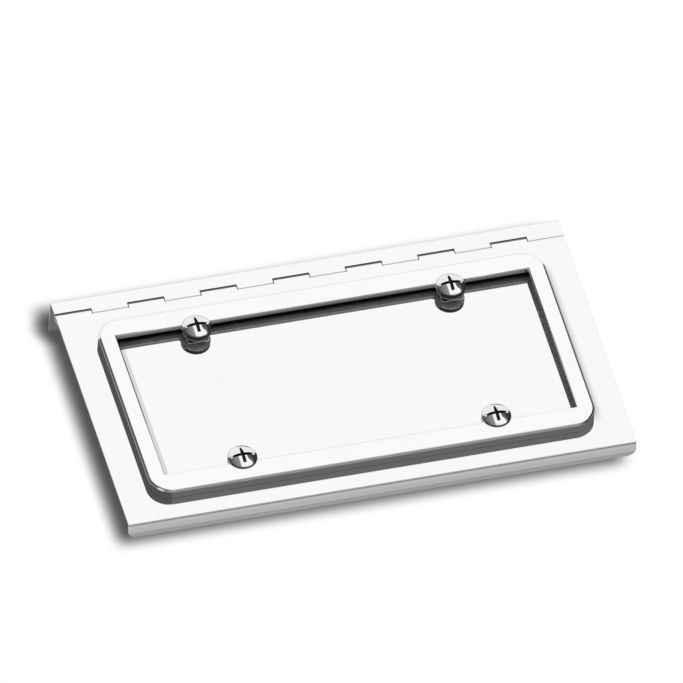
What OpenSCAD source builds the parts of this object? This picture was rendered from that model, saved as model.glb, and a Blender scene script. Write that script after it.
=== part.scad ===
// Hinged holder for a number plate: a bracket that bolts up under a bumper, a panel that
// swings on a hinge rolled from both sheets, and a hollow frame that traps the plate.
// X runs across the holder, Y from its front to its back, and Z up.
// The origin is the middle of the bolt row, on the top face of the bracket's flange.

/* [Sheet metal] */
// Width of the bracket and of the panel
holder_w = 355.6; // [330:0.1:420]
// Thickness of the sheet
sheet_t = 1.0; // [0.8:0.1:1.5]
// Inside radius of the bends
bend_r = 1.0; // [0.5:0.1:2]

/* [Bracket] */
// Depth of the bolted flange, from the front face to its back edge
flange_depth = 28.6; // [24:0.1:40]
// Number of bolt holes in the row
bolt_count = 4; // [2:1:4]
// Distance from the outermost bolt holes to the bracket's ends
bolt_margin = 25.4; // [15:0.1:60]
// Diameter of the bolt holes
bolt_hole_d = 7.0; // [5:0.1:9]
// Distance from the front face back to the bolt row
bolt_setback = 16.0; // [12:0.1:20]

/* [Hinge] */
// Distance from the bracket's top face down to the pin's axis
hinge_drop = 14.0; // [12:0.1:18]
// Number of knuckles, which belong to the panel and the bracket in turn
knuckle_count = 14; // [6:2:20]
// Diameter of the pin
pin_d = 2.0; // [1.6:0.1:3]
// Running clearance all round the pin
pin_gap = 0.05; // [0.03:0.01:0.1]
// Gap between neighbouring knuckles
knuckle_gap = 0.6; // [0.3:0.1:1.2]
// Gap between a roll and the edge of the notch that it turns in
notch_gap = 0.3; // [0.2:0.05:0.8]
// Angle at which the end of a roll closes on the back of its sheet
roll_angle = 18; // [15:1:30]
// Gap that is left between the end of a roll and its sheet
roll_gap = 0.15; // [0.1:0.05:0.4]
// How far the pin's ends lie inside the sheets' ends
pin_inset = 0.5; // [0:0.1:2]

/* [Panel] */
// Depth of the flange along the panel's bottom, from the front face to its back edge
lip_depth = 12.7; // [11:0.1:20]
// Radius of that flange's back corners
lip_corner_r = 6.0; // [3:0.1:8]

/* [Plate frame] */
// Distance from the bracket's top face down to the frame's top edge
frame_drop = 30.65; // [25:0.05:60]
// Distance from the frame's bottom edge down to the panel's underside
frame_lift = 17.45; // [16:0.05:60]
// Width over the frame
frame_w = 313.1; // [311:0.1:325]
// Height over the frame
frame_h = 159.1; // [158:0.1:168]
// Height of the frame's face above the panel
frame_rise = 8.0; // [6:0.1:12]
// Radius of the frame's outer corners
frame_corner_r = 16.0; // [10:0.1:18]
// Radius of the round between the frame's face and its outer wall
frame_edge_r = 2.0; // [0.5:0.1:3]
// Thickness of the frame's outer wall
frame_wall = 2.8; // [2:0.1:3.5]
// Thickness of the frame's face
face_t = 3.5; // [2:0.1:5]
// Width of the frame's left and right bars
side_bar = 12.1; // [8:0.1:18]
// Width of the frame's top and bottom bars
rail_bar = 15.1; // [10:0.1:18]
// Radius of the lobe round each screw
lobe_r = 10.6; // [10.2:0.1:13]
// Radius of the hollow where a lobe runs into its bar
lobe_fillet_r = 3.0; // [1:0.1:5]

/* [Screws] */
// Distance between the screws from left to right
screw_pitch_x = 177.8; // [150:0.1:220]
// How far the screws stand inside the window's top and bottom edges
screw_inset = 4.125; // [2:0.005:6]
// Diameter of the heads
head_d = 20.3; // [14:0.1:20.6]
// Height of a head's upright rim
head_rim_h = 0.9; // [0.5:0.1:1.5]
// Height of a head's dome above its rim
head_dome_h = 2.6; // [2:0.1:4]
// Width of the arms of the cross recess
recess_w = 1.8; // [1.2:0.1:2.5]
// Length of the cross recess from tip to tip
recess_len = 16.0; // [10:0.1:17]
// Depth of the cross recess at its middle
recess_depth = 3.0; // [2.5:0.1:3.3]
// Diameter of the shanks
shank_d = 6.35; // [5:0.05:6.8]
// Length of a shank below its head
shank_len = 20.0; // [17:0.1:25]
// Length of the taper at a shank's tip
shank_tip = 1.2; // [0.5:0.1:2]
// Clearance all round a shank in the frame
shank_gap = 0.35; // [0.2:0.05:0.6]

/* [Insert nuts] */
// Side of the square flange that lies on the panel's face
nut_flange_w = 15.2; // [12:0.1:18]
// Thickness of that flange
nut_flange_t = 0.8; // [0.6:0.1:1.5]
// Side of the square body
nut_body_w = 9.8; // [9:0.1:11]
// Depth of the body behind the panel's face
nut_depth = 9.0; // [6:0.1:11]
// How far the barbs stand out behind the panel
nut_barb = 0.6; // [0.3:0.1:1]
// Length of the barbs
nut_barb_len = 3.0; // [2:0.1:4]
// Clearance all round the body in its hole
nut_gap = 0.1; // [0.05:0.05:0.3]
// Clearance all round a shank in its nut
thread_gap = 0.05; // [0.03:0.01:0.1]

/* [Hidden] */
$fn = 96;

// How far a cutting shape reaches past what it cuts
over = 1;
// Front face of both sheets
front_y = -bolt_setback;
// Height from the bracket's top face down to the panel's underside, and to the frame's middle
holder_h = frame_drop + frame_h + frame_lift;
plate_drop = frame_drop + frame_h / 2;
// Distance from one bolt hole to the next
bolt_pitch = (holder_w - 2 * bolt_margin) / (bolt_count - 1);
bend_outer_r = bend_r + sheet_t;
bore_r = pin_d / 2 + pin_gap;
roll_r = bore_r + sheet_t;
knuckle_w = holder_w / knuckle_count;
pin_y = front_y + roll_r;
// Distance from the pin's axis to the edge of a notch
notch_reach = roll_r + notch_gap;
// Length of the straight end of a roll, from where it leaves the round
roll_leg = (bore_r * (1 + cos(roll_angle)) - roll_gap) / sin(roll_angle);
// How much a roll's straight end lies inside the faces of its round, and how far back it starts
roll_bite = sheet_t / 50;
roll_root = sqrt(roll_r * roll_bite);
window_w = frame_w - 2 * side_bar;
window_h = frame_h - 2 * rail_bar;
// Distance between the screws from top to bottom
screw_pitch_z = window_h - 2 * screw_inset;
// How far the hollows beside a lobe cut into it and into the bar, so that their arcs cross
hollow_bite = 0.01;
// The middle of a hollow, measured from its screw
hollow_z = screw_inset - lobe_fillet_r + hollow_bite;
hollow_x = sqrt(pow(lobe_r + lobe_fillet_r - hollow_bite, 2) - pow(hollow_z, 2));
// Radius of the ball that a head's dome is cut from
dome_r = (pow(head_d / 2, 2) + pow(head_dome_h, 2)) / (2 * head_dome_h);
// How far the dome has dropped at the tips of the cross recess
recess_drop = dome_r - sqrt(pow(dome_r, 2) - pow(recess_len / 2, 2));
// Radius of the round floor of the recess
recess_sag = recess_depth - recess_drop;
recess_r = (pow(recess_len / 2, 2) + pow(recess_sag, 2)) / (2 * recess_sag);

// Places an outline of depth and height, and pulls it along X
module along_x(x, length) {
    translate([x, 0, 0])
        rotate([90, 0, 90])
            linear_extrude(length)
                children();
}

// Places a solid built face up on the front of the panel, round the middle of the frame
module on_panel() {
    translate([0, front_y, -plate_drop])
        rotate([90, 0, 0])
            children();
}

// A quarter of a bent sheet round the origin, for a corner at the front and top
module bend_outline() {
    intersection() {
        difference() {
            circle(bend_outer_r);
            circle(bend_r);
        }
        translate([-bend_outer_r, 0])
            square(bend_outer_r);
    }
}

// Everything above the origin, as far as a roll reaches
module above() {
    translate([-2 * roll_r, 0])
        square([4 * roll_r, 2 * roll_r]);
}

// A sheet that comes down on the front of the pin, rolls under it and closes on its own back
module roll_outline(length) {
    translate([-roll_r, 0])
        square([sheet_t, length]);
    difference() {
        circle(roll_r);
        circle(bore_r);
        intersection() {
            above();
            rotate(roll_angle)
                above();
        }
    }
    rotate(roll_angle)
        translate([bore_r + roll_bite, -roll_root])
            square([sheet_t - 2 * roll_bite, roll_root + roll_leg]);
}

// Every second knuckle from the left, counted from first
module knuckles(first) {
    for (i = [first:2:knuckle_count - 1])
        along_x(-holder_w / 2 + i * knuckle_w + (i == 0 ? 0 : knuckle_gap / 2),
                knuckle_w - (i == 0 || i == knuckle_count - 1 ? knuckle_gap / 2 : knuckle_gap))
            children();
}

module mounting_bracket() {
    color("gainsboro")
    difference() {
        union() {
            along_x(-holder_w / 2, holder_w) {
                translate([front_y + bend_outer_r, -sheet_t])
                    square([flange_depth - bend_outer_r, sheet_t]);
                translate([front_y + bend_outer_r, -bend_outer_r])
                    bend_outline();
                translate([front_y, -hinge_drop + notch_reach])
                    square([sheet_t, hinge_drop - notch_reach - bend_outer_r]);
            }
            knuckles(1)
                translate([pin_y, -hinge_drop])
                    roll_outline(notch_reach);
        }
        for (i = [0:bolt_count - 1])
            translate([(i - (bolt_count - 1) / 2) * bolt_pitch, 0, -sheet_t - over])
                cylinder(d = bolt_hole_d, h = sheet_t + 2 * over);
    }
}

module hinge_pin() {
    color("silver")
    translate([-holder_w / 2 + pin_inset, pin_y, -hinge_drop])
        rotate([0, 90, 0])
            cylinder(d = pin_d, h = holder_w - 2 * pin_inset);
}

module swing_panel() {
    color("gainsboro")
    difference() {
        union() {
            along_x(-holder_w / 2, holder_w) {
                translate([front_y, -holder_h + bend_outer_r])
                    square([sheet_t, holder_h - bend_outer_r - hinge_drop - notch_reach]);
                translate([front_y + bend_outer_r, -holder_h + bend_outer_r])
                    mirror([0, 1])
                        bend_outline();
                translate([front_y + bend_outer_r, -holder_h])
                    square([lip_depth - bend_outer_r, sheet_t]);
            }
            knuckles(0)
                translate([pin_y, -hinge_drop])
                    mirror([0, 1])
                        roll_outline(notch_reach);
        }
        for (side = [-1, 1])
            translate([side * holder_w / 2, front_y + lip_depth, -holder_h])
                lip_corner_cut(-side);
        on_panel()
            at_screws()
                translate([0, 0, -sheet_t])
                    cube([nut_body_w + 2 * nut_gap, nut_body_w + 2 * nut_gap, 2 * sheet_t + over],
                         center = true);
    }
}

// Rounds a back corner of the bottom flange, which lies towards the given side
module lip_corner_cut(inward) {
    translate([0, 0, -over])
        linear_extrude(sheet_t + 2 * over)
            difference() {
                translate([inward < 0 ? -lip_corner_r : -over, -lip_corner_r])
                    square([lip_corner_r + over, lip_corner_r + over]);
                translate([inward * lip_corner_r, -lip_corner_r])
                    circle(lip_corner_r);
            }
}

// Repeats a solid at the four screws
module at_screws() {
    for (x = [-1, 1], z = [-1, 1])
        translate([x * screw_pitch_x / 2, z * screw_pitch_z / 2, 0])
            children();
}

// Section of the frame's outer edge, outwards from the middle of its corner
module edge_outline() {
    square([frame_corner_r, frame_rise - frame_edge_r]);
    square([frame_corner_r - frame_edge_r, frame_rise]);
    translate([frame_corner_r - frame_edge_r, frame_rise - frame_edge_r])
        circle(frame_edge_r);
}

// The frame's full block: a turned quarter at each corner, a bar along each side, a middle
module frame_block() {
    long = frame_w - 2 * frame_corner_r;
    tall = frame_h - 2 * frame_corner_r;
    for (turn = [0:3]) {
        run = turn % 2 == 0 ? tall : long;
        reach = turn % 2 == 0 ? long : tall;
        rotate([0, 0, 90 * turn])
            translate([reach / 2, 0, 0]) {
                translate([0, run / 2, 0])
                    rotate([90, 0, 0])
                        linear_extrude(run)
                            edge_outline();
                translate([0, run / 2, 0])
                    rotate_extrude(angle = 90)
                        edge_outline();
            }
    }
    translate([-long / 2, -tall / 2, 0])
        cube([long, tall, frame_rise]);
}

// Room for the number plate, under the frame's face
module plate_pocket() {
    w = frame_w - 2 * frame_wall;
    h = frame_h - 2 * frame_wall;
    r = frame_corner_r - frame_wall;
    translate([0, 0, -over])
        linear_extrude(frame_rise - face_t + over) {
            square([w - 2 * r, h], center = true);
            square([w, h - 2 * r], center = true);
            for (x = [-1, 1], z = [-1, 1])
                translate([x * (w / 2 - r), z * (h / 2 - r)])
                    circle(r);
        }
}

// A lobe round a screw that stands under the top edge of the window
module lobe_outline() {
    circle(lobe_r);
    difference() {
        polygon([
            [-hollow_x, screw_inset + over],
            [hollow_x, screw_inset + over],
            [hollow_x, hollow_z],
            [0, 0],
            [-hollow_x, hollow_z]
        ]);
        for (side = [-1, 1])
            translate([side * hollow_x, hollow_z])
                circle(lobe_fillet_r);
    }
}

module plate_frame() {
    color("whitesmoke")
    on_panel()
        difference() {
            frame_block();
            plate_pocket();
            translate([0, 0, -over])
                linear_extrude(frame_rise + 2 * over)
                    difference() {
                        square([window_w, window_h], center = true);
                        for (x = [-1, 1], z = [0, 1])
                            translate([x * screw_pitch_x / 2, (1 - 2 * z) * screw_pitch_z / 2])
                                mirror([0, z])
                                    lobe_outline();
                    }
            at_screws()
                translate([0, 0, -over])
                    cylinder(d = shank_d + 2 * shank_gap, h = frame_rise + 2 * over);
        }
}

// A dome-headed screw with a cross recess, with its seat at the origin and its tip below
module screw() {
    head_h = head_rim_h + head_dome_h;
    difference() {
        union() {
            intersection() {
                cylinder(d = head_d, h = head_h + over);
                translate([0, 0, head_h - dome_r])
                    sphere(dome_r);
            }
            translate([0, 0, -shank_len + shank_tip])
                cylinder(d = shank_d, h = shank_len);
            translate([0, 0, -shank_len])
                cylinder(d1 = shank_d - 2 * shank_tip, d2 = shank_d, h = shank_tip);
        }
        for (turn = [0, 90])
            rotate([0, 0, turn])
                translate([0, recess_w / 2, head_h - recess_depth + recess_r])
                    rotate([90, 0, 0])
                        cylinder(r = recess_r, h = recess_w);
    }
}

module plate_screw(x, z) {
    color("lightgray")
    on_panel()
        translate([x * screw_pitch_x / 2, z * screw_pitch_z / 2, frame_rise])
            screw();
}

// Section of the nut's body and barbs, across its width and up from the panel's face
module nut_outline() {
    half = nut_body_w / 2;
    polygon([
        [-half, nut_flange_t],
        [half, nut_flange_t],
        [half, -sheet_t],
        [half + nut_barb, -sheet_t],
        [half, -sheet_t - nut_barb_len],
        [half, -nut_depth],
        [-half, -nut_depth],
        [-half, -sheet_t - nut_barb_len],
        [-half - nut_barb, -sheet_t],
        [-half, -sheet_t]
    ]);
}

// A square nut that snaps into the panel from the front
module insert_nut(x, z) {
    color("dimgray")
    on_panel()
        translate([x * screw_pitch_x / 2, z * screw_pitch_z / 2, 0])
            difference() {
                union() {
                    translate([0, 0, nut_flange_t / 2])
                        cube([nut_flange_w, nut_flange_w, nut_flange_t], center = true);
                    translate([0, nut_body_w / 2, 0])
                        rotate([90, 0, 0])
                            linear_extrude(nut_body_w)
                                nut_outline();
                }
                translate([0, 0, -nut_depth - over])
                    cylinder(d = shank_d + 2 * thread_gap, h = nut_depth + nut_flange_t + 2 * over);
            }
}

mounting_bracket();
hinge_pin();
swing_panel();
plate_frame();
plate_screw(-1, 1);  // screw_top_left
plate_screw(1, 1);  // screw_top_right
plate_screw(-1, -1);  // screw_bottom_left
plate_screw(1, -1);  // screw_bottom_right
insert_nut(-1, 1);  // insert_nut_top_left
insert_nut(1, 1);  // insert_nut_top_right
insert_nut(-1, -1);  // insert_nut_bottom_left
insert_nut(1, -1);  // insert_nut_bottom_right
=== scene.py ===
"""Looks of the hinged number plate holder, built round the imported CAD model.

The frame has X to the right, Y to the back and Z up. Lengths are millimetres in the sizes and in the
functions that build meshes, and metres in the view, the studio and the materials.
"""

from math import atan2, cos, degrees, pi, radians, sin, sqrt

import bmesh
import bpy
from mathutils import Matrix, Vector
from mathutils.geometry import tessellate_polygon


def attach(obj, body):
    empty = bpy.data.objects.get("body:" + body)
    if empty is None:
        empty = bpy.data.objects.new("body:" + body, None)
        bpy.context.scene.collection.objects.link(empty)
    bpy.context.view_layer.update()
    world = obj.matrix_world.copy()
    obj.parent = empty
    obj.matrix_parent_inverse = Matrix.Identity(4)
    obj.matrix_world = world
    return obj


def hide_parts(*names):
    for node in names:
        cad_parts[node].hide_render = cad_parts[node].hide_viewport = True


MM = 0.001

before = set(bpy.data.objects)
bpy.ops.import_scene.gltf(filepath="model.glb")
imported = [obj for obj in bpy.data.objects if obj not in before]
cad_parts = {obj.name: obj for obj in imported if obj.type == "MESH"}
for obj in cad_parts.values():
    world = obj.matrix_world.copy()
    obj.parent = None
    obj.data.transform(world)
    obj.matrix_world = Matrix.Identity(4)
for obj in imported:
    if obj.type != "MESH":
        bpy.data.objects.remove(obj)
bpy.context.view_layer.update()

# Sizes, the same as in part.scad
HOLDER_W = 355.6
HOLDER_H = 207.2
SHEET_T = 1.0
BEND_R = 2.0
FRONT_Y = -16.0
FLANGE_BACK_Y = 12.6
LIP_BACK_Y = -3.3
LIP_CORNER_R = 6.0
BOLT_XS = (-152.4, -50.8, 50.8, 152.4)
BOLT_R = 3.5
PIN_Z = -14.0
BORE_R = 1.05
ROLL_R = BORE_R + SHEET_T
PIN_Y = FRONT_Y + ROLL_R
NOTCH_GAP = 0.3
ROLL_TURN = radians(18)
ROLL_GAP = 0.15
ROLL_LEG = (BORE_R * (1 + cos(ROLL_TURN)) - ROLL_GAP) / sin(ROLL_TURN)
KNUCKLES = 14
KNUCKLE_W = HOLDER_W / KNUCKLES
KNUCKLE_GAP = 0.6

PLATE_Z = -110.2
FRAME_W = 313.1
FRAME_H = 159.1
FRAME_RISE = 8.0
FRAME_CORNER_R = 16.0
FRAME_EDGE_R = 2.0
FRAME_WALL = 2.8
POCKET_H = 4.5
SCREW_X = 88.9
SCREW_Z = 60.325

HEAD_RIM_H = 0.9
HEAD_DOME_H = 2.6
SHANK_R = 3.175
SHANK_LEN = 20.0
SHANK_GAP = 0.35
RECESS_LEN = 16.0
RECESS_DEPTH = 3.0
NUT_FLANGE = 15.2
NUT_FLANGE_T = 0.8
NUT_BODY = 9.8
NUT_DEPTH = 9.0
NUT_BARB = 0.6
NUT_BARB_LEN = 3.0
NUT_GAP = 0.1
THREAD_GAP = 0.05

# The corners of the frame, and where their screws are from the middle of the number plate
CORNERS = tuple(
    (f"{row}_{side}", sx * SCREW_X, sz * SCREW_Z)
    for row, sz in (("top", 1), ("bottom", -1)) for side, sx in (("left", -1), ("right", 1))
)

# Sizes that fit the photograph closer than those in part.scad
BRACKET_NOTCH_GAP = 0.5
WINDOW_W = 288.2
WINDOW_H = 127.5
LOBE_R = 10.15
LOBE_HOLLOW_R = 1.5
HEAD_R = 10.0
RECESS_W = 2.4

# Sizes of details that part.scad leaves out
SHEET_EDGE_R = 0.16
WINDOW_EDGE_R = 1.2
WINDOW_EDGE_STEPS = 6
BACK_EDGE = 0.15
HEAD_EDGE_R = 0.18
RIM_BAND = 0.4
THREAD_PITCH = 1.8
THREAD_DEPTH = 0.7
TIP_TAPER = 2.4

# The painted shade in the hollow of the frame, dark by the depth in mm that its mesh carries
SHADE_START = 1.6
SHADE_FULL = 6.0
DEEP = 10.0
SHALLOW = 0.6

# From this angle between two faces on, their edge is sharp
SHARP_ANGLE = radians(35)

# How the photograph was taken
VIEW_RIGHT = Vector((0.96513, -0.05150, -0.25654))
VIEW_UP = Vector((0.15864, -0.66455, 0.73020))
VIEW_AHEAD = Vector((0.20809, 0.74544, 0.63323))
VIEW_CENTRE = Vector((0.0058, -0.016, -0.0766))
VIEW_WIDTH = 0.46165
VIEW_DISTANCE = 1.2

# The ground behind the holder, and the shadow on it: where each edge is, and half of its width
GROUND_Y = 0.0128
GROUND_HALF = 2.0
SHADOW_LEFT = (-0.1801, 0.0099)
SHADOW_RIGHT = (0.1728, -0.0108)
SHADOW_BOTTOM = (-0.1974, 0.0125)
SHADOW_TOP = (0.018, -0.0125)
SHADOW_DEPTH = 0.667
SHADOW_IN_MIRRORS = 0.65

# Lamps: name, place and power. All are discs of the same size, turned to the holder's middle
MIDDLE_Z = -0.1
LAMP_SIZE = 0.9
LAMPS = (
    ("key_light", (0.7, -1.1, -0.1), 9),
    ("fill_light", (-0.5, -0.7, 0.9), 4),
    ("back_light", (0.3, 1.2, 0.5), 5),
)


class Tree:
    """Builds the node tree of a material or of the world."""

    def __init__(self, owner):
        owner.use_nodes = True
        self.tree = owner.node_tree
        self.tree.nodes.clear()

    def add(self, kind, inputs=None, **settings):
        node = self.tree.nodes.new(kind)
        for key, value in settings.items():
            setattr(node, key, value)
        for key, value in (inputs or {}).items():
            if isinstance(value, bpy.types.NodeSocket):
                self.tree.links.new(value, node.inputs[key])
            else:
                node.inputs[key].default_value = value
        return node

    def math(self, operation, a, b):
        return self.add("ShaderNodeMath", {0: a, 1: b}, operation=operation).outputs[0]

    def product(self, value, *others):
        for other in others:
            value = self.math("MULTIPLY", value, other)
        return value

    def axes(self, vector):
        return self.add("ShaderNodeSeparateXYZ", {0: vector}).outputs

    def ease(self, value, start, end, low=0.0, high=1.0, smoother=False):
        """A smooth step: low up to start, and high from end on. start may be greater than end."""
        node = self.add(
            "ShaderNodeMapRange",
            {"Value": value, "From Min": start, "From Max": end, "To Min": low, "To Max": high},
            interpolation_type="SMOOTHERSTEP" if smoother else "SMOOTHSTEP",
        )
        return node.outputs["Result"]

    def blend(self, share, a, b):
        """A number that goes from a to b as share goes from 0 to 1."""
        node = self.add("ShaderNodeMix", {0: share, 2: a, 3: b}, data_type="FLOAT")
        return node.outputs[0]

    def blend_colour(self, share, a, b):
        node = self.add("ShaderNodeMix", {0: share, 6: a, 7: b}, data_type="RGBA")
        return node.outputs[2]

    def noise(self, place, scale, detail):
        return self.add("ShaderNodeTexNoise", {"Vector": place, "Scale": scale, "Detail": detail}).outputs[0]

    def open_share(self, direction, distance, samples):
        """How much of the half space towards a direction is free of things, up to a distance."""
        towards = self.add("ShaderNodeCombineXYZ", dict(enumerate(direction)))
        node = self.add(
            "ShaderNodeAmbientOcclusion",
            {"Distance": distance, "Normal": towards.outputs[0]},
            samples=samples,
        )
        return node.outputs["AO"]

    def show(self, surface, owner="Material"):
        self.add(f"ShaderNodeOutput{owner}", {"Surface": surface.outputs[0]})


# Camera

def make_camera():
    data = bpy.data.cameras.new("camera")
    data.type = "ORTHO"
    data.ortho_scale = VIEW_WIDTH
    data.clip_end = 10
    camera = bpy.data.objects.new("camera", data)
    bpy.context.scene.collection.objects.link(camera)
    back = -VIEW_AHEAD
    columns = (VIEW_RIGHT, VIEW_UP, back)
    for row in range(3):
        for column in range(3):
            camera.matrix_world[row][column] = columns[column][row]
    camera.matrix_world.translation = VIEW_CENTRE + back * VIEW_DISTANCE
    bpy.context.scene.camera = camera


# Studio

def make_world():
    """What the mirrors show, as greys by direction, whose parts go from -1 to 1. Up is out of the panel's
    face, and far is towards the bracket. The camera sees plain white."""
    world = bpy.data.worlds.new("studio")
    bpy.context.scene.world = world
    t = Tree(world)
    ray = t.add("ShaderNodeTexCoord").outputs["Generated"]
    axes = t.axes(ray)
    right = axes[0]
    up = t.math("MULTIPLY", axes[1], -1.0)
    far = axes[2]

    # Front: a bright ceiling strip between a mid-grey left wall and a dark right wall
    left_edge = t.math("ADD", right, t.math("MULTIPLY", up, 0.07))
    flare = t.ease(far, 0.35, 0.0, 0.52, 0.85)
    right_edge = t.math("SUBTRACT", t.math("MULTIPLY", up, flare), right)
    in_strip = t.product(t.ease(left_edge, -0.02, 0.03), t.ease(right_edge, -0.03, 0.03))
    strip = t.ease(far, -1.0, 0.05, 0.36, 1.07)
    left_wall = t.ease(right, -0.75, 0.0, 0.06, 0.32)
    right_wall = t.ease(right, 0.3, 0.8, 0.14, 0.03)
    walls = t.blend(t.ease(right, 0.0, 0.2), left_wall, right_wall)
    front = t.blend(in_strip, walls, strip)

    # Far side: a pale sweep. Low on the left: a softbox that the photograph's view doesn't meet
    front = t.blend(t.ease(far, 0.66, 0.71), front, 0.95)
    softbox = t.product(t.ease(far, -0.28, -0.38), t.ease(right, -0.50, -0.58))
    front = t.blend(softbox, front, 0.8)

    # A narrow dark ring round the ceiling, which walls that stand square on the panel mirror
    ring = t.product(t.ease(up, 0.700, 0.715), t.ease(up, 0.790, 0.775))
    beside_strip = t.math("MAXIMUM", t.ease(far, 0.45, 0.3), t.ease(right, 0.05, -0.05))
    front = t.blend(t.product(ring, beside_strip), front, t.ease(right, -0.1, 0.1, 0.1, 0.165))

    # Back: the ground under the holder
    ground = t.ease(far, -0.45, -0.2, t.ease(up, -0.1, -0.7, 0.36, 0.56), 0.72)
    studio = t.blend(t.ease(up, -0.02, 0.02), ground, front)

    seen = t.add("ShaderNodeLightPath").outputs["Is Camera Ray"]
    light = t.blend(seen, studio, 1.0)
    background = t.add("ShaderNodeBackground", {"Color": (1, 1, 1, 1), "Strength": light})
    t.show(background, "World")


def make_lamp(name, place, power):
    data = bpy.data.lights.new(name, "AREA")
    data.shape = "DISK"
    data.size = LAMP_SIZE
    data.energy = power
    lamp = bpy.data.objects.new(name, data)
    lamp.location = place
    ahead = Vector((0, 0, MIDDLE_Z)) - lamp.location
    lamp.rotation_euler = ahead.to_track_quat("-Z", "Y").to_euler()
    lamp.visible_glossy = False
    lamp.visible_camera = False
    bpy.context.scene.collection.objects.link(lamp)


def shadow_material(name):
    """A white ground that shows only the soft shadow of the holder at rest, from the ground's front side.
    Away from the bracket it fades where no panel hangs over it, and where the panel has swung behind it."""
    material = bpy.data.materials.new(name)
    t = Tree(material)
    axes = t.axes(t.add("ShaderNodeTexCoord").outputs["Object"])
    x = axes[0]
    z = axes[2]

    def beyond(value, edge):
        """From 0 to 1 across an edge of the shadow. A negative half width turns it round."""
        place, half_width = edge
        return t.ease(value, place - half_width, place + half_width, smoother=True)

    # The end of the bracket's flange throws the left edge out a little
    flange_end = t.product(t.ease(z, -0.017, 0.001), t.ease(z, 0.002, 0.016, 0.0049, 0.0022))
    shadow = t.product(
        beyond(t.math("ADD", x, flange_end), SHADOW_LEFT),
        beyond(x, SHADOW_RIGHT),
        beyond(z, SHADOW_BOTTOM),
        beyond(z, SHADOW_TOP),
    )

    # Present where the panel covers the ground, or the bracket does, and the panel isn't behind it
    covered = t.open_share((0.5, -0.8, 0.4), 0.08, 32)
    behind = t.open_share((0.0, 1.0, 0.0), 0.25, 20)
    present = t.math("MAXIMUM", t.ease(covered, 0.97, 0.86), t.ease(z, -0.012, -0.002))
    present = t.product(present, t.ease(behind, 0.94, 0.99))

    path = t.add("ShaderNodeLightPath").outputs
    front = t.math("SUBTRACT", 1.0, t.add("ShaderNodeNewGeometry").outputs["Backfacing"])
    looked_at = t.math("ADD", path["Is Camera Ray"], t.product(path["Is Glossy Ray"], SHADOW_IN_MIRRORS))
    shadow = t.product(shadow, present, looked_at, front, SHADOW_DEPTH)
    grey = t.math("POWER", t.math("SUBTRACT", 1.0, shadow), 2.2)

    # Painted shade on the ground, seen only in mirrors: what the polished flange at the bottom mirrors of
    # the ground gets darker towards its back edge
    strip = t.math("ADD", t.ease(z, -0.2284, -0.2278, 0.0, 0.09), t.ease(z, -0.2246, -0.2241, 0.0, 0.24))
    strip = t.product(strip, t.ease(z, -0.195, -0.205), path["Is Glossy Ray"], front)
    grey = t.product(grey, t.math("SUBTRACT", 1.0, strip))
    colour = t.add("ShaderNodeCombineColor", {0: grey, 1: grey, 2: grey})
    t.show(t.add("ShaderNodeBsdfTransparent", {"Color": colour.outputs[0]}))
    return material


def make_ground(name, material):
    """A vertical plane just behind the bracket's flange."""
    mesh = bpy.data.meshes.new(name)
    signs = ((-1, -1), (1, -1), (1, 1), (-1, 1))
    corners = [(sx * GROUND_HALF, GROUND_Y, sz * GROUND_HALF + MIDDLE_Z) for sx, sz in signs]
    mesh.from_pydata(corners, [], [(0, 1, 2, 3)])
    mesh.materials.append(material)
    ground = bpy.data.objects.new(name, mesh)
    bpy.context.scene.collection.objects.link(ground)


def make_studio():
    scene = bpy.context.scene
    scene.view_settings.view_transform = "Standard"
    scene.cycles.max_bounces = 16
    scene.cycles.glossy_bounces = 12
    scene.cycles.transparent_max_bounces = 16
    make_world()
    for lamp in LAMPS:
        make_lamp(*lamp)
    make_ground("floor", shadow_material("white_ground"))


# Mesh helpers

def mesh_object(name, build, materials):
    """Turns a bmesh in millimetres into an object, and frees it."""
    mesh = bpy.data.meshes.new(name)
    build.to_mesh(mesh)
    build.free()
    for vertex in mesh.vertices:
        vertex.co = vertex.co * MM
    for material in materials:
        mesh.materials.append(material)
    thing = bpy.data.objects.new(name, mesh)
    bpy.context.scene.collection.objects.link(thing)
    return thing


def finish_mesh(name, build, materials, body, node=None, bevel=0.0):
    """Turns a bmesh in millimetres into a piece, which stands for a CAD node if one is given."""
    bmesh.ops.remove_doubles(build, verts=build.verts, dist=1e-5)
    bmesh.ops.recalc_face_normals(build, faces=build.faces)
    piece = mesh_object(name, build, materials)
    piece.data.shade_smooth()
    piece.data.set_sharp_from_angle(angle=SHARP_ANGLE)
    if bevel:
        edge = piece.modifiers.new("edges", "BEVEL")
        edge.width = bevel * MM
        edge.segments = 2
        edge.limit_method = "ANGLE"
        edge.angle_limit = SHARP_ANGLE
        edge.use_clamp_overlap = True
    weigh = piece.modifiers.new("normals", "WEIGHTED_NORMAL")
    weigh.weight = 100
    weigh.keep_sharp = True
    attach(piece, body)
    if node:
        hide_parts(node)
    return piece


def arc(centre, radius, start, end, steps):
    """Points on a circle, from one angle in degrees to another."""
    turn = [radians(start + (end - start) * i / steps) for i in range(steps + 1)]
    return [(centre[0] + radius * cos(a), centre[1] + radius * sin(a)) for a in turn]


def circle_points(centre, radius, steps):
    return arc(centre, radius, 0, 360, steps)[:-1]


def join_rings(build, lower, upper, paint=0):
    """Quads between two closed rings of the same number of points. paint is the number of the material."""
    count = len(lower)
    for i in range(count):
        j = (i + 1) % count
        build.faces.new((lower[i], lower[j], upper[j], upper[i])).material_index = paint


def fill_between(build, outer, inner_rings, paint=0):
    """Fills the flat region inside the outer ring and outside every inner ring."""
    rings = [outer, *inner_rings]
    points = [v for ring in rings for v in ring]
    for triangle in tessellate_polygon([[v.co for v in ring] for ring in rings]):
        build.faces.new([points[i] for i in triangle]).material_index = paint


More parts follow.
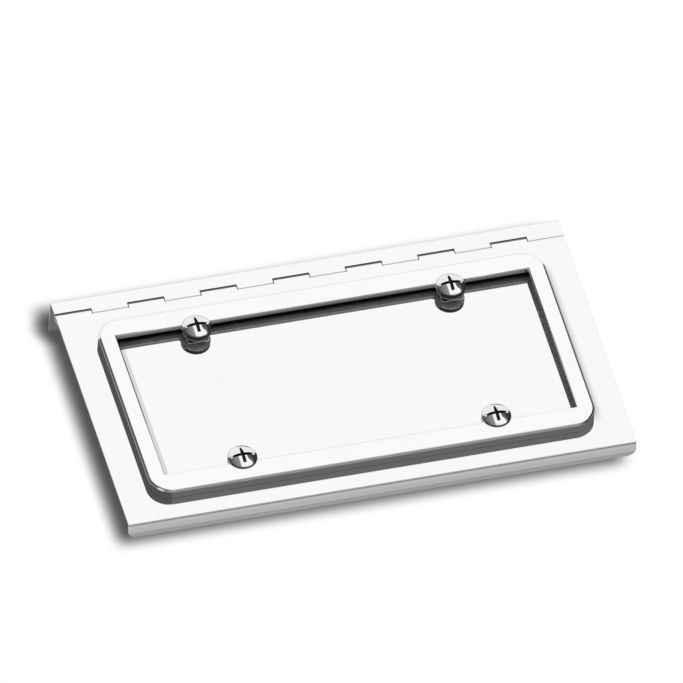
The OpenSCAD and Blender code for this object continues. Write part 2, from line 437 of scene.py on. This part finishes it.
def join_by_angle(build, centre_x, outer, inner):
    """Triangles between two rings round a point on the X axis, in a plane of equal Z. The rings may have
    different numbers of points."""
    def by_angle(ring):
        placed = [(atan2(v.co.y, v.co.x - centre_x), v) for v in ring]
        placed.sort(key=lambda pair: pair[0])
        return placed + [(placed[0][0] + 2 * pi, placed[0][1])]

    outer = by_angle(outer)
    inner = by_angle(inner)
    i = j = 0
    while i < len(outer) - 1 or j < len(inner) - 1:
        on_outer = j == len(inner) - 1 or (i < len(outer) - 1 and outer[i + 1][0] <= inner[j + 1][0])
        ahead = outer[i + 1][1] if on_outer else inner[j + 1][1]
        build.faces.new((outer[i][1], inner[j][1], ahead))
        i += on_outer
        j += not on_outer


# Bent sheets

def bent_sheet(build, xs, skins, present, place, notch):
    """A sheet with a grid of cells. skins are pairs of points (y, z) on its two faces, cell (i, j) lies
    between xs[i] and xs[i + 1] and between skins[j] and skins[j + 1], and place moves a point along X.
    The sheared edges of the notches, in row notch and on, take material 1, a dark metal: partly the cut
    edge's duller finish, partly painted shade in the hinge's gaps."""
    corners = {}

    def corner(i, j, side):
        key = (i, j, side)
        if key not in corners:
            y, z = skins[j][side]
            corners[key] = build.verts.new((place(xs[i], j), y, z))
        return corners[key]

    for i in range(len(xs) - 1):
        for j in range(len(skins) - 1):
            if not present(i, j):
                continue
            cell = ((i, j), (i + 1, j), (i + 1, j + 1), (i, j + 1))
            for side in (0, 1):
                build.faces.new([corner(a, b, side) for a, b in cell])
            sides = (
                ((i - 1, j), (i, j), (i, j + 1)),
                ((i + 1, j), (i + 1, j), (i + 1, j + 1)),
                ((i, j - 1), (i, j), (i + 1, j)),
                ((i, j + 1), (i, j + 1), (i + 1, j + 1)),
            )
            for (ni, nj), a, b in sides:
                on_grid = 0 <= ni < len(xs) - 1 and 0 <= nj < len(skins) - 1
                if not (on_grid and present(ni, nj)):
                    edge = build.faces.new((corner(*a, 0), corner(*b, 0), corner(*b, 1), corner(*a, 1)))
                    edge.material_index = 1 if on_grid and max(j, nj) >= notch else 0


def roll_skins(flip):
    """The rolled end of a sheet that comes along the front of the pin, from the pin's level on. flip is 1
    for a sheet that comes from above, and -1 for one from below."""
    local = [((-ROLL_R, 0), (-BORE_R, 0))]
    steps = 26
    turn_end = 360 + degrees(ROLL_TURN)
    for i in range(1, steps + 1):
        a = radians(180 + (turn_end - 180) * i / steps)
        local.append(tuple((r * cos(a), r * sin(a)) for r in (ROLL_R, BORE_R)))
    for share in (0.5, 1.0):
        run = ROLL_LEG * share
        local.append(tuple(
            (r * cos(ROLL_TURN) - run * sin(ROLL_TURN), r * sin(ROLL_TURN) + run * cos(ROLL_TURN))
            for r in (ROLL_R, BORE_R)
        ))
    return [tuple((PIN_Y + y, PIN_Z + flip * z) for y, z in pair) for pair in local]


def bend_skins(centre, start, end):
    outer = arc(centre, BEND_R, start, end, 10)
    inner = arc(centre, BEND_R - SHEET_T, start, end, 10)
    return list(zip(outer, inner))


def face_skins(z):
    return ((FRONT_Y, z), (FRONT_Y + SHEET_T, z))


def knuckle_spans(first):
    spans = []
    for i in range(first, KNUCKLES, 2):
        left = -HOLDER_W / 2 + i * KNUCKLE_W + (0 if i == 0 else KNUCKLE_GAP / 2)
        right = -HOLDER_W / 2 + (i + 1) * KNUCKLE_W - (0 if i == KNUCKLES - 1 else KNUCKLE_GAP / 2)
        spans.append((left, right))
    return spans


def column_edges(spans, others):
    """Sorted places along X where a column of cells starts or ends."""
    ends = [x for span in spans for x in span]
    return sorted({round(x, 6) for x in (-HOLDER_W / 2, HOLDER_W / 2, *ends, *others)})


def in_spans(x, spans):
    return any(left < x < right for left, right in spans)


def make_panel(materials):
    bottom = -HOLDER_H
    skins = []
    ends = []
    steps = 8
    for i in range(steps + 1):
        back = LIP_CORNER_R * (1 - cos(radians(90 * i / steps)))
        y = LIP_BACK_Y - back
        skins.append(((y, bottom), (y, bottom + SHEET_T)))
        ends.append(LIP_CORNER_R - sqrt(LIP_CORNER_R ** 2 - (LIP_CORNER_R - back) ** 2))
    skins += bend_skins((FRONT_Y + BEND_R, bottom + BEND_R), -90, -180)
    hole = NUT_BODY / 2 + NUT_GAP
    low = len(skins)
    zs = [PLATE_Z + s * SCREW_Z + e * hole for s in (-1, 1) for e in (-1, 1)]
    skins += [face_skins(z) for z in zs]
    skins.append(face_skins(PIN_Z - ROLL_R - NOTCH_GAP))
    notch = len(skins) - 1
    skins += roll_skins(-1)
    spans = knuckle_spans(0)
    holes = [s * SCREW_X + e * hole for s in (-1, 1) for e in (-1, 1)]
    corner_x = HOLDER_W / 2 - LIP_CORNER_R
    xs = column_edges(spans, [*holes, -corner_x, corner_x])

    def present(i, j):
        x = (xs[i] + xs[i + 1]) / 2
        if j >= notch:
            return in_spans(x, spans)
        in_hole = abs(abs(x) - SCREW_X) < hole and j in (low, low + 2)
        return not in_hole

    def place(x, j):
        if j < len(ends) and abs(abs(x) - HOLDER_W / 2) < 1e-6:
            return x - ends[j] * (1 if x > 0 else -1)
        return x

    build = bmesh.new()
    bent_sheet(build, xs, skins, present, place, notch + 1)
    finish_mesh("panel", build, materials, "panel", "swing_panel", bevel=SHEET_EDGE_R)


def make_bracket(materials):
    half = 2 * BOLT_R
    skins = [((y, 0), (y, -SHEET_T)) for y in (FLANGE_BACK_Y, half, -half)]
    skins += bend_skins((FRONT_Y + BEND_R, -BEND_R), 90, 180)
    skins.append(face_skins(PIN_Z + ROLL_R + BRACKET_NOTCH_GAP))
    notch = len(skins) - 1
    skins += roll_skins(1)
    spans = knuckle_spans(1)
    xs = column_edges(spans, [x + e * half for x in BOLT_XS for e in (-1, 1)])

    def present(i, j):
        x = (xs[i] + xs[i + 1]) / 2
        if j >= notch:
            return in_spans(x, spans)
        in_bolt_cell = j == 1 and any(abs(x - bolt) < half for bolt in BOLT_XS)
        return not in_bolt_cell

    build = bmesh.new()
    bent_sheet(build, xs, skins, present, lambda x, j: x, notch)
    add_bolt_holes(build, xs, half)
    finish_mesh("bracket", build, materials, "bracket", "mounting_bracket", bevel=SHEET_EDGE_R)


def add_bolt_holes(build, xs, half):
    """Swaps the walls round each open cell, as wide as twice half, for a ring of sheet with a round hole."""
    reach = half + 1e-3

    def wall_of_cell(face, bolt):
        near = all(abs(v.co.x - bolt) < reach and abs(v.co.y) < reach for v in face.verts)
        return near and abs(face.calc_center_median().z + SHEET_T / 2) < 0.1

    for bolt in BOLT_XS:
        stray = [face for face in build.faces if wall_of_cell(face, bolt)]
        bmesh.ops.delete(build, geom=stray, context="FACES_ONLY")
        rings = []
        inner_xs = [x for x in xs if abs(x - bolt) < reach]
        outline = [(x, -half) for x in inner_xs] + [(x, half) for x in reversed(inner_xs)]
        for z in (0, -SHEET_T):
            circle = [build.verts.new((x, y, z)) for x, y in circle_points((bolt, 0), BOLT_R, 40)]
            edge = [build.verts.new((x, y, z)) for x, y in outline]
            join_by_angle(build, bolt, edge, circle)
            rings.append(circle)
        join_rings(build, *rings)


# Plate frame

def rounded_outline(width, height, radius, steps=20):
    """A rounded rectangle round the origin, as points (x, z)."""
    w = width / 2 - radius
    h = height / 2 - radius
    points = []
    for quarter, (sx, sz) in enumerate(((1, 1), (-1, 1), (-1, -1), (1, -1))):
        points += arc((sx * w, sz * h), radius, 90 * quarter, 90 * quarter + 90, steps)
    return points


def window_outline(grow):
    """The window with its four lobes, moved outwards into the frame by grow."""
    half_w = WINDOW_W / 2 + grow
    half_h = WINDOW_H / 2 + grow
    lobe = LOBE_R - grow
    hollow = LOBE_HOLLOW_R + grow
    hollow_z = -WINDOW_H / 2 + LOBE_HOLLOW_R
    drop = -SCREW_Z - hollow_z
    hollow_x = sqrt((LOBE_R + LOBE_HOLLOW_R) ** 2 - drop ** 2)
    lean = degrees(atan2(drop, hollow_x))
    bottom = [(-half_w, -half_h)]
    for x in (-SCREW_X, SCREW_X):
        bottom += arc((x - hollow_x, hollow_z), hollow, -90, lean, 10)
        bottom += arc((x, -SCREW_Z), lobe, 180 + lean, -lean, 44)[1:-1]
        bottom += arc((x + hollow_x, hollow_z), hollow, 180 - lean, 270, 10)
    bottom.append((half_w, -half_h))
    top = [(-x, -z) for x, z in bottom]
    return bottom + top


def ring_at(build, outline, height):
    """A ring of points at a height above the panel's face."""
    return [build.verts.new((x, FRONT_Y - height, PLATE_Z + z)) for x, z in outline]


def near_screw(place, reach):
    """Whether a point lies within a reach of the axis of a screw."""
    return (abs(place.x) - SCREW_X) ** 2 + (abs(place.z - PLATE_Z) - SCREW_Z) ** 2 < reach ** 2


def frame_levels():
    """The profiles of the frame's walls, as pairs of shift and height above the panel: the outside from the
    panel up, the window from the face down, and the hollow under the face from its roof down."""
    outside = [(BACK_EDGE, 0), (0, BACK_EDGE), (0, FRAME_RISE - FRAME_EDGE_R)]
    for i in range(1, 11):
        a = radians(9 * i)
        outside.append((FRAME_EDGE_R * (1 - cos(a)), FRAME_RISE - FRAME_EDGE_R * (1 - sin(a))))
    window = []
    for i in range(WINDOW_EDGE_STEPS + 1):
        a = radians(90 * i / WINDOW_EDGE_STEPS)
        window.append((WINDOW_EDGE_R * (1 - sin(a)), FRAME_RISE - WINDOW_EDGE_R * (1 - cos(a))))
    window += [(0, POCKET_H + BACK_EDGE), (BACK_EDGE, POCKET_H)]
    hollow = [(0, POCKET_H), (0, BACK_EDGE), (BACK_EDGE, 0)]
    return outside, window, hollow


def paint_lobe_walls(build, depth, window_rings):
    """The window's walls round the bottom screws take the pale material 1, a painted light, and those round
    the top screws the black material 2, a painted shadow under their heads, as in the photograph."""
    reach = LOBE_R + 3
    # Painted light on the bottom lobes' walls, painted shadow on the top ones
    for i, ring in enumerate(window_rings[:-1]):
        for vertex in ring:
            if vertex.co.z < PLATE_Z:
                vertex[depth] = SHALLOW if near_screw(vertex.co, reach) else 0.0
            elif near_screw(vertex.co, LOBE_R + 0.15) and abs(abs(vertex.co.x) - SCREW_X) < 0.85 * LOBE_R:
                vertex[depth] = DEEP if i <= WINDOW_EDGE_STEPS else 2.2
    for face in build.faces:
        if all(near_screw(vertex.co, reach) and vertex[depth] > SHALLOW / 2 for vertex in face.verts):
            black = all(vertex[depth] == DEEP for vertex in face.verts)
            face.material_index = 2 if black else 1


def make_plate_frame(materials):
    """The frame with its hollow back, which takes material 1 with painted shade that gets dark away from its
    edges.
    """
    build = bmesh.new()
    depth = build.verts.layers.float.new("depth")

    def outer(inset):
        return rounded_outline(FRAME_W - 2 * inset, FRAME_H - 2 * inset, FRAME_CORNER_R - inset)

    def pocket(grow):
        return outer(FRAME_WALL - grow)

    def set_depth(ring, value):
        for vertex in ring:
            vertex[depth] = value

    walls = []
    outlines = (outer, window_outline, pocket)
    paints = ((1, 0), (0, 0), (1, 1))
    for outline, levels, (first_paint, paint) in zip(outlines, frame_levels(), paints):
        rings = [ring_at(build, outline(shift), height) for shift, height in levels]
        for i, (a, b) in enumerate(zip(rings, rings[1:])):
            join_rings(build, a, b, first_paint if i == 0 else paint)
        walls.append(rings)
    out_rings, window_rings, pocket_rings = walls
    screws = []
    for sx in (-1, 1):
        for sz in (-1, 1):
            circle = circle_points((sx * SCREW_X, sz * SCREW_Z), SHANK_R + SHANK_GAP, 32)
            pair = [ring_at(build, circle, height) for height in (FRAME_RISE, POCKET_H)]
            join_rings(build, *pair, 1)
            screws.append(pair)
    fill_between(build, out_rings[-1], [window_rings[0], *[screw[0] for screw in screws]])
    # Painted shade: each ring's depth sets how dark material 1 paints it. It grows inwards under the
    # window's edge, and the frame's foot and the hollow's walls are black
    under = window_rings[-1]
    for grow in (1.2, 2.4, 3.6, 4.8, 6.0):
        ring = ring_at(build, window_outline(grow), POCKET_H)
        join_rings(build, under, ring, 1)
        under = ring
        for vertex in ring:
            vertex[depth] = min(grow, 2.5) if near_screw(vertex.co, LOBE_R + 1) else grow
    for screw in screws:
        set_depth(screw[1], 3.0)
    for ring in (out_rings[0], out_rings[1], *pocket_rings):
        set_depth(ring, DEEP)
    paint_lobe_walls(build, depth, window_rings)
    fill_between(build, pocket_rings[0], [under, *[screw[1] for screw in screws]], 1)
    fill_between(build, out_rings[0], [pocket_rings[-1]], 1)
    finish_mesh("frame", build, materials, "panel", "plate_frame")


# Screws

def on_panel(x, z, height):
    """A point of a screw or nut, round its own axis where it meets the panel or the frame's face."""
    return Vector((x, -height, z))


def lathe(build, profile, steps, paint_steps):
    """Turns pairs of radius and height round the origin. A radius of 0 closes the shape. The first
    paint_steps bands take material 2."""
    rings = []
    for radius, height in profile:
        points = circle_points((0, 0), radius, steps) if radius else [(0, 0)]
        rings.append([build.verts.new(on_panel(*p, height)) for p in points])
    for k, (a, b) in enumerate(zip(rings, rings[1:])):
        if len(a) > 1 and len(b) > 1:
            join_rings(build, a, b, 2 if k < paint_steps else 0)
            continue
        tip, ring = (a[0], b) if len(a) == 1 else (b[0], a)
        for i in range(steps):
            build.faces.new((tip, ring[i], ring[(i + 1) % steps]))


def dome_height(r):
    """Height of the head's dome above the frame's face."""
    dome_r = (HEAD_R ** 2 + HEAD_DOME_H ** 2) / (2 * HEAD_DOME_H)
    return HEAD_RIM_H + HEAD_DOME_H - dome_r + sqrt(dome_r ** 2 - r ** 2)


def head_profile():
    """Radius and height round the head, and how many of its first steps belong to the rim, which takes a
    darker metal as painted shade.
    """
    soft = HEAD_EDGE_R
    profile = [(0, 0), (HEAD_R - soft, 0), (HEAD_R - 0.05, 0.05), (HEAD_R, soft)]
    profile.append((HEAD_R, HEAD_RIM_H - soft))
    for i in range(4):
        a = radians(15 + 15 * i)
        profile.append((HEAD_R - soft * (1 - cos(a)), HEAD_RIM_H - soft * (1 - sin(a)) + 0.06 * i / 3))
    dome = HEAD_R - RIM_BAND
    profile += [(r, dome_height(r)) for r in (HEAD_R - soft, dome)]
    rim_steps = len(profile) - 1
    profile += [(r, dome_height(r)) for r in (dome * i / 14 for i in reversed(range(14)))]
    return profile, rim_steps


def recess_blade(turned):
    """A closed prism that cuts one pair of arms of the cross recess. Its deep faces take material 1. Its
    columns are a place along the arms, the height of the floor there, and half of the width."""
    lid = HEAD_RIM_H + HEAD_DOME_H + 1
    deep = lid - 1 - RECESS_DEPTH
    reach = RECESS_LEN / 2 + 0.2
    shelf = dome_height(reach)
    wide = RECESS_W / 2
    if turned:
        columns = [
            (-6.6, deep + 0.9, wide), (-1.6, deep, wide), (1.6, deep, wide),
            (5.0, deep + 0.9, 0.9), (7.0, dome_height(7.0), 0.35),
        ]
        shiny = ()
    else:
        left = [(-reach, shelf, 0.8), (-6.6, shelf, 0.8), (-5.0, deep + 0.9, 1.1), (-1.6, deep, wide)]
        columns = left + [(-u, h, half) for u, h, half in reversed(left)]
        shiny = (0, len(columns) - 2)
    build = bmesh.new()
    rings = []
    for u, h, half in columns:
        corners = ((-half, h), (half, h), (half, lid), (-half, lid))
        places = [((across, u) if turned else (u, across), height) for across, height in corners]
        rings.append([build.verts.new(on_panel(*p, height)) for p, height in places])
    for i, (a, b) in enumerate(zip(rings, rings[1:])):
        join_rings(build, a, b, 0 if i in shiny else 1)
    for end in (rings[0], rings[-1]):
        build.faces.new(end).material_index = 1 if turned else 0
    bmesh.ops.recalc_face_normals(build, faces=build.faces)
    return build


def add_thread(build):
    """A coarse thread from inside the head to the tapered tip."""
    columns = 36
    step = THREAD_PITCH / 9
    start = -0.3
    rows = []
    for k in range(round((SHANK_LEN - start - 0.1) / step) + 1):
        down = start + k * step
        taper = min(1.0, 0.55 + 0.45 * (SHANK_LEN - down) / TIP_TAPER)
        ring = []
        for c in range(columns):
            phase = (down / THREAD_PITCH + c / columns) % 1
            crest = max(0.0, 1 - abs(2 * phase - 1) * 1.6)
            r = (SHANK_R - THREAD_DEPTH + THREAD_DEPTH * crest) * taper
            a = 2 * pi * c / columns
            ring.append(build.verts.new(on_panel(r * cos(a), r * sin(a), -down)))
        rows.append(ring)
    for a, b in zip(rows, rows[1:]):
        join_rings(build, a, b)
    build.faces.new(rows[0])
    build.faces.new(rows[-1])


def cut_with(piece, build, materials):
    """Cuts the closed shape in build out of a piece, for good."""
    cutter = mesh_object("cutter", build, materials)
    cut = piece.modifiers.new("cut", "BOOLEAN")
    cut.operation = "DIFFERENCE"
    cut.solver = "EXACT"
    cut.object = cutter
    shown = piece.evaluated_get(bpy.context.evaluated_depsgraph_get())
    result = bpy.data.meshes.new_from_object(shown)
    piece.modifiers.remove(cut)
    piece.data = result
    bpy.data.objects.remove(cutter)


def place_at_screws(first, prefix, kind, height):
    """The first piece and three copies of it, at a height above the panel on the axes of the four screws.
    Each stands for the CAD node of its kind at that corner."""
    pieces = [first]
    for _ in CORNERS[1:]:
        piece = first.copy()
        bpy.context.scene.collection.objects.link(piece)
        pieces.append(piece)
    for piece, (corner, x, z) in zip(pieces, CORNERS):
        node = f"{kind}_{corner}"
        piece.name = prefix + node
        piece.location = Vector((x, FRONT_Y - height, PLATE_Z + z)) * MM
        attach(piece, "panel")
        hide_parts(node)


def make_screws(materials):
    build = bmesh.new()
    profile, rim_steps = head_profile()
    lathe(build, profile, 72, rim_steps)
    bmesh.ops.recalc_face_normals(build, faces=build.faces)
    head = mesh_object("screw_head", build, materials)
    for turned in (False, True):
        cut_with(head, recess_blade(turned), materials)
    build = bmesh.new()
    build.from_mesh(head.data)
    for vertex in build.verts:
        vertex.co = vertex.co / MM
    bpy.data.objects.remove(head)
    add_thread(build)
    first = finish_mesh("plate_screw_top_left", build, materials, "panel")
    place_at_screws(first, "plate_", "screw", FRAME_RISE)


# Insert nuts

def square_points(half, corner):
    """A square with rounded corners, as points (x, z)."""
    return rounded_outline(2 * half, 2 * half, corner, 5)


def make_nuts(materials):
    """The thin edge that shows beside the screws' heads takes material 1, a pale painted highlight on the
    black nylon.
    """
    build = bmesh.new()
    edge = 0.4
    tip = 0.6

    def level(outline, height):
        return [build.verts.new(on_panel(*p, height)) for p in outline]

    flange = square_points(NUT_FLANGE / 2, 1.2)
    flange_in = square_points(NUT_FLANGE / 2 - edge, 0.9)
    body = square_points(NUT_BODY / 2, 0.5)
    body_in = square_points(NUT_BODY / 2 - 0.5, 0.4)
    bore = circle_points((0, 0), SHANK_R + THREAD_GAP, 24)
    outside = [
        level(flange_in, NUT_FLANGE_T), level(flange, NUT_FLANGE_T - edge), level(flange, 0.0),
        level(body, 0.0), level(body, tip - NUT_DEPTH), level(body_in, -NUT_DEPTH),
    ]
    for i, (a, b) in enumerate(zip(outside, outside[1:])):
        join_rings(build, a, b, 1 if i == 0 else 0)
    inside = [level(bore, NUT_FLANGE_T), level(bore, -NUT_DEPTH)]
    join_rings(build, *inside)
    fill_between(build, outside[0], [inside[0]])
    fill_between(build, outside[-1], [inside[1]])
    root = NUT_BODY / 2 - 0.1
    crest = NUT_BODY / 2 + NUT_BARB
    barb = (
        (root, -SHEET_T - 0.03), (crest, -SHEET_T - 0.03),
        (crest, -SHEET_T - 0.3), (root, -SHEET_T - NUT_BARB_LEN),
    )
    for side in (-1, 1):
        wedge = []
        for z in (tip - NUT_BODY / 2, NUT_BODY / 2 - tip):
            wedge.append([build.verts.new(on_panel(side * x, z, height)) for x, height in barb])
        join_rings(build, *wedge)
        build.faces.new(wedge[0])
        build.faces.new(wedge[1])
    first = finish_mesh("nylon_insert_nut_top_left", build, materials, "panel")
    place_at_screws(first, "nylon_", "insert_nut", 0)


# Materials

def add_surface(t, colour, metallic, rough, relief):
    t.show(t.add("ShaderNodeBsdfPrincipled", {
        "Base Color": colour, "Metallic": metallic, "Roughness": rough, "Normal": relief.outputs[0],
    }))


def contact_shade_bands(t, place):
    """Painted shade in two narrow bands of the sheet's front face, beside the frame: outside the frame's
    right edge, and inside the window's left edge. In the photograph the sheet mirrors least light there."""
    x, y, z = t.axes(place)
    outside = t.product(
        t.ease(x, 0.1500, 0.1502), t.ease(x, 0.1630, 0.1560, 0.0, 0.48),
        t.ease(z, -0.187, -0.170), t.ease(z, -0.034, -0.050),
    )
    inside = t.product(
        t.ease(x, -0.1460, -0.1458), t.ease(x, -0.1392, -0.1400, 0.0, 0.27),
        t.ease(z, -0.1685, -0.1680), t.ease(z, -0.0470, -0.0500),
    )
    return t.product(t.math("ADD", outside, inside), t.ease(y, -0.0153, -0.0157))


def polished_metal(name, colour, roughness, wave, scale, contact_shade=False):
    """Metal polished to a mirror, with faint polishing marks, smudges and a little waviness. wave is the
    height of the waves in metres, and scale how fine they are. contact_shade adds the sheet's bands of
    painted shade beside the frame."""
    material = bpy.data.materials.new(name)
    t = Tree(material)
    place = t.add("ShaderNodeTexCoord").outputs["Object"]
    stretched = t.add("ShaderNodeMapping", {"Vector": place, "Scale": (40, 900, 900)}).outputs[0]
    marks = t.noise(stretched, 3.0, 3.0)
    smudges = t.noise(place, 35.0, 4.0)
    waves = t.noise(place, scale, 0.0)
    smudged = t.ease(smudges, 0.4, 0.75, roughness, roughness * 1.8)
    rough = t.math("ADD", smudged, t.product(marks, roughness * 0.5))
    smear = (*[c * 0.96 for c in colour], 1)
    shine = t.blend_colour(t.ease(smudges, 0.45, 0.8, 0.0, 0.5), (*colour, 1), smear)
    if contact_shade:
        # Painted shade: the sheet darkens to black in the bands beside the frame
        shine = t.blend_colour(contact_shade_bands(t, place), shine, (0, 0, 0, 1))
    broad = t.add("ShaderNodeBump", {"Height": waves, "Strength": 1.0, "Distance": wave})
    fine = t.add("ShaderNodeBump", {
        "Height": marks, "Strength": 0.25, "Distance": 1.5e-6, "Normal": broad.outputs[0],
    })
    add_surface(t, shine, 1.0, rough, fine)
    return material


def plain_material(name, colour, roughness, metallic, grain, bump, deep=None):
    """A dull surface with a fine grain. bump is the height of the grain in metres, and deep the colour of
    the painted shade where the mesh carries a great depth."""
    material = bpy.data.materials.new(name)
    t = Tree(material)
    place = t.add("ShaderNodeTexCoord").outputs["Object"]
    fine = t.noise(place, grain, 3.0)
    shade = t.blend_colour(fine, (*[c * 0.75 for c in colour], 1), (*[c * 1.25 for c in colour], 1))
    if deep:
        # Painted shade: darker where the mesh carries a greater depth
        depth = t.add("ShaderNodeAttribute", attribute_name="depth").outputs["Fac"]
        shade = t.blend_colour(t.ease(depth, SHADE_START, SHADE_FULL), shade, (*deep, 1))
    rough = t.ease(fine, 0.3, 0.7, roughness * 0.85, roughness * 1.15)
    relief = t.add("ShaderNodeBump", {"Height": fine, "Strength": 0.4, "Distance": bump})
    add_surface(t, shade, metallic, rough, relief)
    return material


make_camera()
make_studio()
sheet = polished_metal("polished_sheet", (0.88, 0.88, 0.872), 0.02, 2e-5, 9.0, contact_shade=True)
chrome = polished_metal("frame_chrome", (0.89, 0.89, 0.885), 0.015, 1e-5, 14.0)
# Partly the cut edges' duller finish, partly painted shade in the hinge's gaps
cut_edge_and_shade = plain_material("cut_edge_and_painted_shade", (0.10, 0.10, 0.10), 0.4, 1.0, 1800.0, 4e-6)
# Painted shade darkens the frame's hollow back away from its edges
painted_shade_back = plain_material("frame_back", (0.78, 0.78, 0.77), 0.5, 0.0, 700.0, 1e-5, deep=(0.03, 0.03, 0.03))
screw_chrome = polished_metal("screw_chrome", (0.88, 0.88, 0.88), 0.03, 1e-6, 60.0)
recess = plain_material("recess_shadow", (0.012, 0.012, 0.012), 0.6, 0.0, 900.0, 2e-5)
# Painted shade: a darker metal on the screw heads' rim
rim_shade = plain_material("screw_rim_painted_shade", (0.26, 0.26, 0.26), 0.3, 1.0, 1200.0, 4e-6)
nylon = plain_material("black_nylon", (0.035, 0.035, 0.037), 0.42, 0.0, 1500.0, 1e-5)
# Painted highlight: a pale edge on the black nylon nuts
nylon_edge_highlight = plain_material("nylon_edge_painted_highlight", (0.8, 0.8, 0.79), 0.5, 0.0, 1500.0, 1e-5)
pin_steel = plain_material("pin_steel", (0.55, 0.55, 0.54), 0.28, 1.0, 2500.0, 3e-6)
make_panel((sheet, cut_edge_and_shade))
make_bracket((sheet, cut_edge_and_shade))
make_plate_frame((chrome, painted_shade_back, recess))
make_screws((screw_chrome, recess, rim_shade))
make_nuts((nylon, nylon_edge_highlight))
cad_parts["hinge_pin"].data.materials[0] = pin_steel
